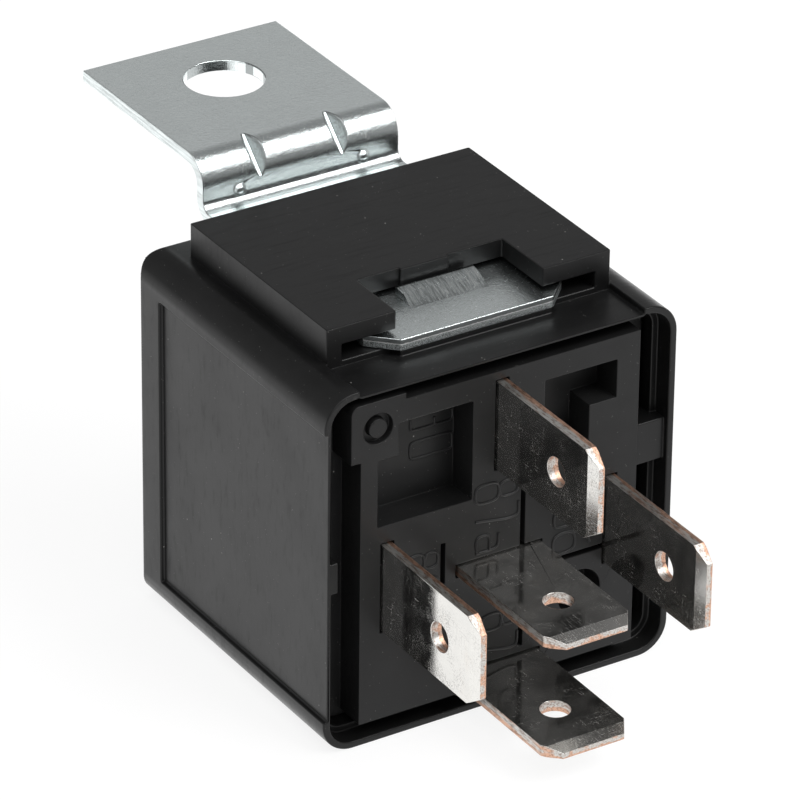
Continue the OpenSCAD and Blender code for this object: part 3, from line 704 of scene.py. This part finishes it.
# Single-line digits on a unit box: along the reading direction, then up
GLYPHS = {
    "0": [[(0.5, 1), (0.9, 1), (1, 0.93), (1, 0.07), (0.9, 0), (0.1, 0), (0, 0.07), (0, 0.93), (0.1, 1),
           (0.5, 1)]],
    "3": [[(0, 0.96), (0.1, 1), (0.85, 1), (1, 0.92), (1, 0.62), (0.9, 0.57), (0.35, 0.57)],
          [(0.9, 0.57), (1, 0.5), (1, 0.06), (0.9, 0), (0, 0)]],
    "5": [[(1, 1), (0.05, 1), (0.05, 0.58), (0.8, 0.6), (1, 0.5), (1, 0.1), (0.8, 0), (0, 0)]],
    "6": [[(0.85, 1), (0.35, 0.9), (0.05, 0.55), (0, 0.2), (0.15, 0.02), (0.5, 0), (0.85, 0.02), (1, 0.2),
           (1, 0.42), (0.85, 0.58), (0.5, 0.6), (0.15, 0.56), (0.05, 0.45)]],
    "7": [[(0, 1), (1, 1), (0.55, 0)]],
    "8": [[(0.5, 0.56), (0.12, 0.53), (0, 0.42), (0, 0.14), (0.15, 0), (0.85, 0), (1, 0.14), (1, 0.42),
           (0.88, 0.53), (0.5, 0.56)],
          [(0.5, 0.56), (0.2, 0.59), (0.08, 0.68), (0.08, 0.88), (0.22, 1), (0.78, 1), (0.92, 0.88),
           (0.92, 0.68), (0.8, 0.59), (0.5, 0.56)]],
    "a": [[(0.1, 0.6), (0.8, 0.6), (1, 0.5), (1, 0)],
          [(1, 0.36), (0.2, 0.36), (0, 0.3), (0, 0.08), (0.15, 0), (0.8, 0), (1, 0.08)]],
}


class RELAY_OT_numbers(Operator):
    """Mould the terminal numbers on the base as thin raised lines"""
    bl_idname = "relay.numbers"
    bl_label = "Terminal numbers"

    # Digit, foot and head in x, start and end in z (they read downwards) and depth, all in millimetres
    marks = (
        ("3", -5.38, -2.25, 21.2, 20.36, 2.3), ("0", -5.38, -2.25, 19.5, 18.28, 2.3),
        ("8", -1.9, 1.3, 16.4, 15.05, 0.0), ("7", -1.85, 1.37, 14.5, 13.3, 0.0),
        ("a", -1.78, 1.0, 12.7, 11.5, 0.0),
        ("8", -6.93, -4.63, 12.75, 11.45, 0.0), ("5", -6.93, -4.63, 10.85, 9.7, 0.0),
        ("8", 4.1, 6.9, 12.85, 11.55, 0.0), ("6", 4.06, 6.9, 11.1, 9.6, 0.0),
        ("8", -1.2, 1.4, 6.7, 5.5, 0.0), ("7", -1.2, 1.47, 4.9, 3.6, 0.0),
    )

    def softened(self, points):
        """Cuts the corners of a line twice, keeping its ends."""
        for _ in range(2):
            cut = [points[0]]
            for a, b in zip(points, points[1:]):
                cut.append(a.lerp(b, 0.22))
                cut.append(a.lerp(b, 0.78))
            points = cut + [points[-1]]
        return points

    def execute(self, context):
        settings = context.scene.relay_mark
        curve = bpy.data.curves.new("terminal_numbers", "CURVE")
        curve.dimensions = "3D"
        curve.bevel_depth = settings.line / 2
        curve.bevel_resolution = 2
        curve.use_fill_caps = True
        for digit, foot, head, start, end, depth in self.marks:
            for line in GLYPHS[digit]:
                points = self.softened([Vector((foot + (head - foot) * up, start + (end - start) * along))
                                        for along, up in line])
                spline = curve.splines.new("POLY")
                spline.points.add(len(points) - 1)
                for point, place in zip(spline.points, points):
                    point.co = (place.x * MM, FACE_Y + depth * MM, place.y * MM, 1)
        piece = bpy.data.objects.new("terminal_numbers", curve)
        context.scene.collection.objects.link(piece)
        context.view_layer.update()
        mesh = bpy.data.meshes.new_from_object(piece.evaluated_get(context.evaluated_depsgraph_get()))
        bpy.data.objects.remove(piece)
        piece = bpy.data.objects.new("terminal_numbers", mesh)
        context.scene.collection.objects.link(piece)
        for polygon in mesh.polygons:
            polygon.use_smooth = True
        moulding = context.scene.relay_moulding
        # The lines are painted lighter than the plastic, a painted highlight along them
        colour = tint(moulding.colour, 2.4)
        set_materials(piece, moulded_plastic("mark plastic with painted highlight", colour, moulding.dust_colour,
                                             moulding.roughness, dust=0.3))
        settle(piece)
        return {"FINISHED"}


class RELAY_OT_coil(Operator):
    """Wind the coil turn by turn round the bobbin"""
    bl_idname = "relay.coil"
    bl_label = "Coil"

    def execute(self, context):
        settings = context.scene.relay_magnet
        low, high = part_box("coil_winding")
        centre = (low + high) / 2
        outer = (high.x - low.x) / 2 - settings.wire / 2
        turns = max(4, int((high.y - low.y) / settings.wire))
        tree = bpy.data.node_groups.new("coil turns", "GeometryNodeTree")
        tree.is_modifier = True
        face = tree.interface
        face.new_socket("Geometry", in_out="OUTPUT", socket_type="NodeSocketGeometry")
        sockets = {}
        for name, kind in (("Turns", "NodeSocketInt"), ("Radius", "NodeSocketFloat"),
                           ("Wire", "NodeSocketFloat"), ("Length", "NodeSocketFloat"),
                           ("Sides", "NodeSocketInt")):
            sockets[name] = face.new_socket(name, in_out="INPUT", socket_type=kind).identifier
        nodes, links = tree.nodes, tree.links
        given = nodes.new("NodeGroupInput")
        line = nodes.new("GeometryNodeMeshLine")
        line.mode = "END_POINTS"
        end = nodes.new("ShaderNodeCombineXYZ")
        links.new(given.outputs["Length"], end.inputs["Z"])
        links.new(given.outputs["Turns"], line.inputs["Count"])
        links.new(end.outputs["Vector"], line.inputs["Offset"])
        ring = nodes.new("GeometryNodeCurvePrimitiveCircle")
        links.new(given.outputs["Sides"], ring.inputs["Resolution"])
        links.new(given.outputs["Radius"], ring.inputs["Radius"])
        section = nodes.new("GeometryNodeCurvePrimitiveCircle")
        section.inputs["Resolution"].default_value = 8
        half = nodes.new("ShaderNodeMath")
        half.operation = "MULTIPLY"
        half.inputs[1].default_value = 0.5
        links.new(given.outputs["Wire"], half.inputs[0])
        links.new(half.outputs["Value"], section.inputs["Radius"])
        tube = nodes.new("GeometryNodeCurveToMesh")
        links.new(ring.outputs["Curve"], tube.inputs["Curve"])
        links.new(section.outputs["Curve"], tube.inputs["Profile Curve"])
        copies = nodes.new("GeometryNodeInstanceOnPoints")
        links.new(line.outputs["Mesh"], copies.inputs["Points"])
        links.new(tube.outputs["Mesh"], copies.inputs["Instance"])
        real = nodes.new("GeometryNodeRealizeInstances")
        links.new(copies.outputs["Instances"], real.inputs["Geometry"])
        wire = lacquered_wire("lacquered wire", settings.lacquer)
        finish = nodes.new("GeometryNodeSetMaterial")
        finish.inputs["Material"].default_value = wire
        links.new(real.outputs["Geometry"], finish.inputs["Geometry"])
        result = nodes.new("NodeGroupOutput")
        links.new(finish.outputs["Geometry"], result.inputs["Geometry"])
        piece = bpy.data.objects.new("coil_turns", bpy.data.meshes.new("coil_turns"))
        context.scene.collection.objects.link(piece)
        modifier = piece.modifiers.new("coil turns", "NODES")
        modifier.node_group = tree
        for name, value in (("Turns", turns), ("Radius", outer), ("Wire", settings.wire),
                            ("Length", high.y - low.y - settings.wire), ("Sides", settings.sides)):
            modifier[sockets[name]] = value
        context.view_layer.update()
        finished_mesh(piece)
        # The tree winds up along z, and the coil lies along y
        piece.data.transform(Matrix(((1, 0, 0, centre.x), (0, 0, 1, low.y + settings.wire / 2),
                                     (0, -1, 0, centre.z), (0, 0, 0, 1))))
        for polygon in piece.data.polygons:
            polygon.use_smooth = True
        settle(piece)
        for node in ("coil_winding", "coil_lead_85", "coil_lead_86"):
            set_materials(NODES[node], wire)
        return {"FINISHED"}


class RELAY_OT_magnet(Operator):
    """Finish the magnet, its spring and the contacts"""
    bl_idname = "relay.magnet"
    bl_label = "Magnet and contacts"

    def execute(self, context):
        settings = context.scene.relay_magnet
        iron = soft_iron("plated iron", settings.iron)
        rivet = soft_iron("rivet steel", settings.rivet)
        silver = silver_contact("contact silver", settings.silver)
        for node in ("yoke", "core", "armature"):
            set_materials(NODES[node], iron)
        for node in ("armature_rivets", "spring_rivets"):
            set_materials(NODES[node], rivet)
        for node in ("moving_contact", "fixed_contact_no", "fixed_contact_nc"):
            set_materials(NODES[node], silver)
        set_materials(NODES["bobbin"], bobbin_nylon("bobbin nylon", settings.nylon))
        spring = rounded_copy("contact_spring", SPRING_EDGE_RADIUS, flat_area=STRIP_FLAT)
        set_materials(spring, rolled_bronze("spring bronze", settings.bronze))
        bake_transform(spring)
        return {"FINISHED"}


def soft_lamp(name, place, size, power):
    """A rectangular lamp that looks at the relay."""
    data = bpy.data.lights.new(name, "AREA")
    data.shape = "RECTANGLE"
    data.size, data.size_y = size
    data.energy = power
    lamp = bpy.data.objects.new(name, data)
    bpy.context.scene.collection.objects.link(lamp)
    lamp.location = place
    lamp.rotation_euler = (Vector(LAMP_TARGET) - Vector(place)).to_track_quat("-Z", "Y").to_euler()


class RELAY_OT_stage(Operator):
    """Set the floor, the studio light and the camera"""
    bl_idname = "relay.stage"
    bl_label = "Stage"

    def floor(self, context, colour):
        mesh = bpy.data.meshes.new("floor")
        half = FLOOR_HALF_WIDTH
        mesh.from_pydata([(-half, -half, 0), (half, -half, 0), (half, half, 0), (-half, half, 0)], [],
                         [(0, 1, 2, 3)])
        piece = bpy.data.objects.new("floor", mesh)
        context.scene.collection.objects.link(piece)
        material, tree, shader = new_material("floor paint")
        shader.inputs["Base Color"].default_value = (*colour, 1)
        shader.inputs["Roughness"].default_value = 0.9
        glow = tree.nodes.new("ShaderNodeEmission")
        glow.inputs["Color"].default_value = (1, 1, 1, 1)
        path = tree.nodes.new("ShaderNodeLightPath")
        # The floor is brighter in reflections than it is seen, as a lit table is
        lit = calc(tree, "ADD", 1.0, calc(tree, "MULTIPLY", path.outputs["Is Glossy Ray"], 0.5))
        lit = calc(tree, "ADD", lit, calc(tree, "MULTIPLY", path.outputs["Is Camera Ray"], 0.06))
        tree.links.new(lit, glow.inputs["Strength"])
        seen = calc(tree, "MAXIMUM", path.outputs["Is Camera Ray"],
                    calc(tree, "MAXIMUM", path.outputs["Is Glossy Ray"], path.outputs["Is Transmission Ray"]))
        mix = tree.nodes.new("ShaderNodeMixShader")
        tree.links.new(calc(tree, "MULTIPLY", seen, 0.80), mix.inputs[0])
        tree.links.new(shader.outputs["BSDF"], mix.inputs[1])
        tree.links.new(glow.outputs["Emission"], mix.inputs[2])
        out = next(n for n in tree.nodes if n.type == "OUTPUT_MATERIAL")
        tree.links.new(mix.outputs["Shader"], out.inputs["Surface"])
        set_materials(piece, material)

    def surround(self, context):
        world = bpy.data.worlds.new("studio")
        context.scene.world = world
        world.use_nodes = True
        tree = world.node_tree
        tree.nodes.clear()
        coord = tree.nodes.new("ShaderNodeTexCoord")
        parts = tree.nodes.new("ShaderNodeSeparateXYZ")
        tree.links.new(coord.outputs["Generated"], parts.inputs["Vector"])
        ramp = tree.nodes.new("ShaderNodeValToRGB")
        ramp.color_ramp.elements[0].position = 0.0
        ramp.color_ramp.elements[0].color = (0.50, 0.50, 0.50, 1)
        ramp.color_ramp.elements[1].position = 1.0
        ramp.color_ramp.elements[1].color = (0.26, 0.26, 0.26, 1)
        for position, level in ((0.25, 0.47), (0.50, 0.51), (0.62, 0.31), (0.75, 0.17), (0.88, 0.20)):
            element = ramp.color_ramp.elements.new(position)
            element.color = (level, level, level, 1)
        tree.links.new(parts.outputs["Z"], ramp.inputs["Fac"])
        shown = tree.nodes.new("ShaderNodeBackground")
        tree.links.new(ramp.outputs["Color"], shown.inputs["Color"])
        white = tree.nodes.new("ShaderNodeBackground")
        white.inputs["Color"].default_value = (1, 1, 1, 1)
        path = tree.nodes.new("ShaderNodeLightPath")
        mix = tree.nodes.new("ShaderNodeMixShader")
        tree.links.new(path.outputs["Is Camera Ray"], mix.inputs[0])
        tree.links.new(shown.outputs["Background"], mix.inputs[1])
        tree.links.new(white.outputs["Background"], mix.inputs[2])
        out = tree.nodes.new("ShaderNodeOutputWorld")
        tree.links.new(mix.outputs["Shader"], out.inputs["Surface"])

    def camera(self, context, focal_length):
        azimuth, elevation, roll = (math.radians(turn) for turn in CAMERA_TURNS)
        forward = Vector((-math.sin(azimuth) * math.cos(elevation), math.cos(azimuth) * math.cos(elevation),
                          -math.sin(elevation)))
        right = Vector((math.cos(azimuth), math.sin(azimuth), 0))
        up = right.cross(forward)
        turned = right * math.cos(roll) + up * math.sin(roll)
        upright = up * math.cos(roll) - right * math.sin(roll)
        data = bpy.data.cameras.new("camera")
        data.sensor_width = 36
        data.lens = focal_length
        data.clip_start = 0.01
        data.clip_end = 20
        camera = bpy.data.objects.new("camera", data)
        context.scene.collection.objects.link(camera)
        place = Vector(CAMERA_PLACE) * MM + Vector((0, MOUTH_Y, 0))
        camera.matrix_world = Matrix(((turned.x, upright.x, -forward.x, place.x),
                                      (turned.y, upright.y, -forward.y, place.y),
                                      (turned.z, upright.z, -forward.z, place.z), (0, 0, 0, 1)))
        context.scene.camera = camera

    def execute(self, context):
        settings = context.scene.relay_stage
        self.floor(context, settings.floor_colour)
        self.surround(context)
        soft_lamp("key", *KEY_LAMP, settings.key_power)
        soft_lamp("fill", *FILL_LAMP, settings.fill_power)
        self.camera(context, settings.focal_length)
        context.scene.view_settings.view_transform = "Standard"
        return {"FINISHED"}


class RELAY_PT_panel(Panel):
    bl_label = "Changeover relay"
    bl_idname = "RELAY_PT_panel"
    bl_space_type = "VIEW_3D"
    bl_region_type = "UI"
    bl_category = "Relay"

    def draw(self, context):
        for settings, operators in PANEL_ROWS:
            box = self.layout.box()
            group = getattr(context.scene, settings)
            for name in group.__annotations__:
                box.prop(group, name)
            for operator in operators:
                box.operator(operator.bl_idname)


PANEL_ROWS = (
    ("relay_moulding", (RELAY_OT_cover, RELAY_OT_base)),
    ("relay_mark", (RELAY_OT_numbers,)),
    ("relay_metal", (RELAY_OT_bracket, RELAY_OT_blades)),
    ("relay_magnet", (RELAY_OT_coil, RELAY_OT_magnet)),
    ("relay_stage", (RELAY_OT_stage,)),
)

SETTINGS = {
    "relay_moulding": RelayMouldingSettings,
    "relay_metal": RelayMetalSettings,
    "relay_mark": RelayMarkSettings,
    "relay_magnet": RelayMagnetSettings,
    "relay_stage": RelayStageSettings,
}

CLASSES = (*SETTINGS.values(), RELAY_OT_stage, RELAY_OT_cover, RELAY_OT_base, RELAY_OT_bracket,
           RELAY_OT_blades, RELAY_OT_numbers, RELAY_OT_coil, RELAY_OT_magnet, RELAY_PT_panel)


def register():
    for entry in CLASSES:
        bpy.utils.register_class(entry)
    for name, group in SETTINGS.items():
        setattr(bpy.types.Scene, name, PointerProperty(type=group))


def unregister():
    for name in SETTINGS:
        delattr(bpy.types.Scene, name)
    for entry in reversed(CLASSES):
        bpy.utils.unregister_class(entry)


def main():
    register()
    bpy.ops.relay.stage()
    bpy.ops.relay.cover()
    bpy.ops.relay.base()
    bpy.ops.relay.bracket()
    bpy.ops.relay.blades()
    bpy.ops.relay.numbers()
    bpy.ops.relay.coil()
    bpy.ops.relay.magnet()
    bpy.context.view_layer.update()


if __name__ == "__main__":
    main()
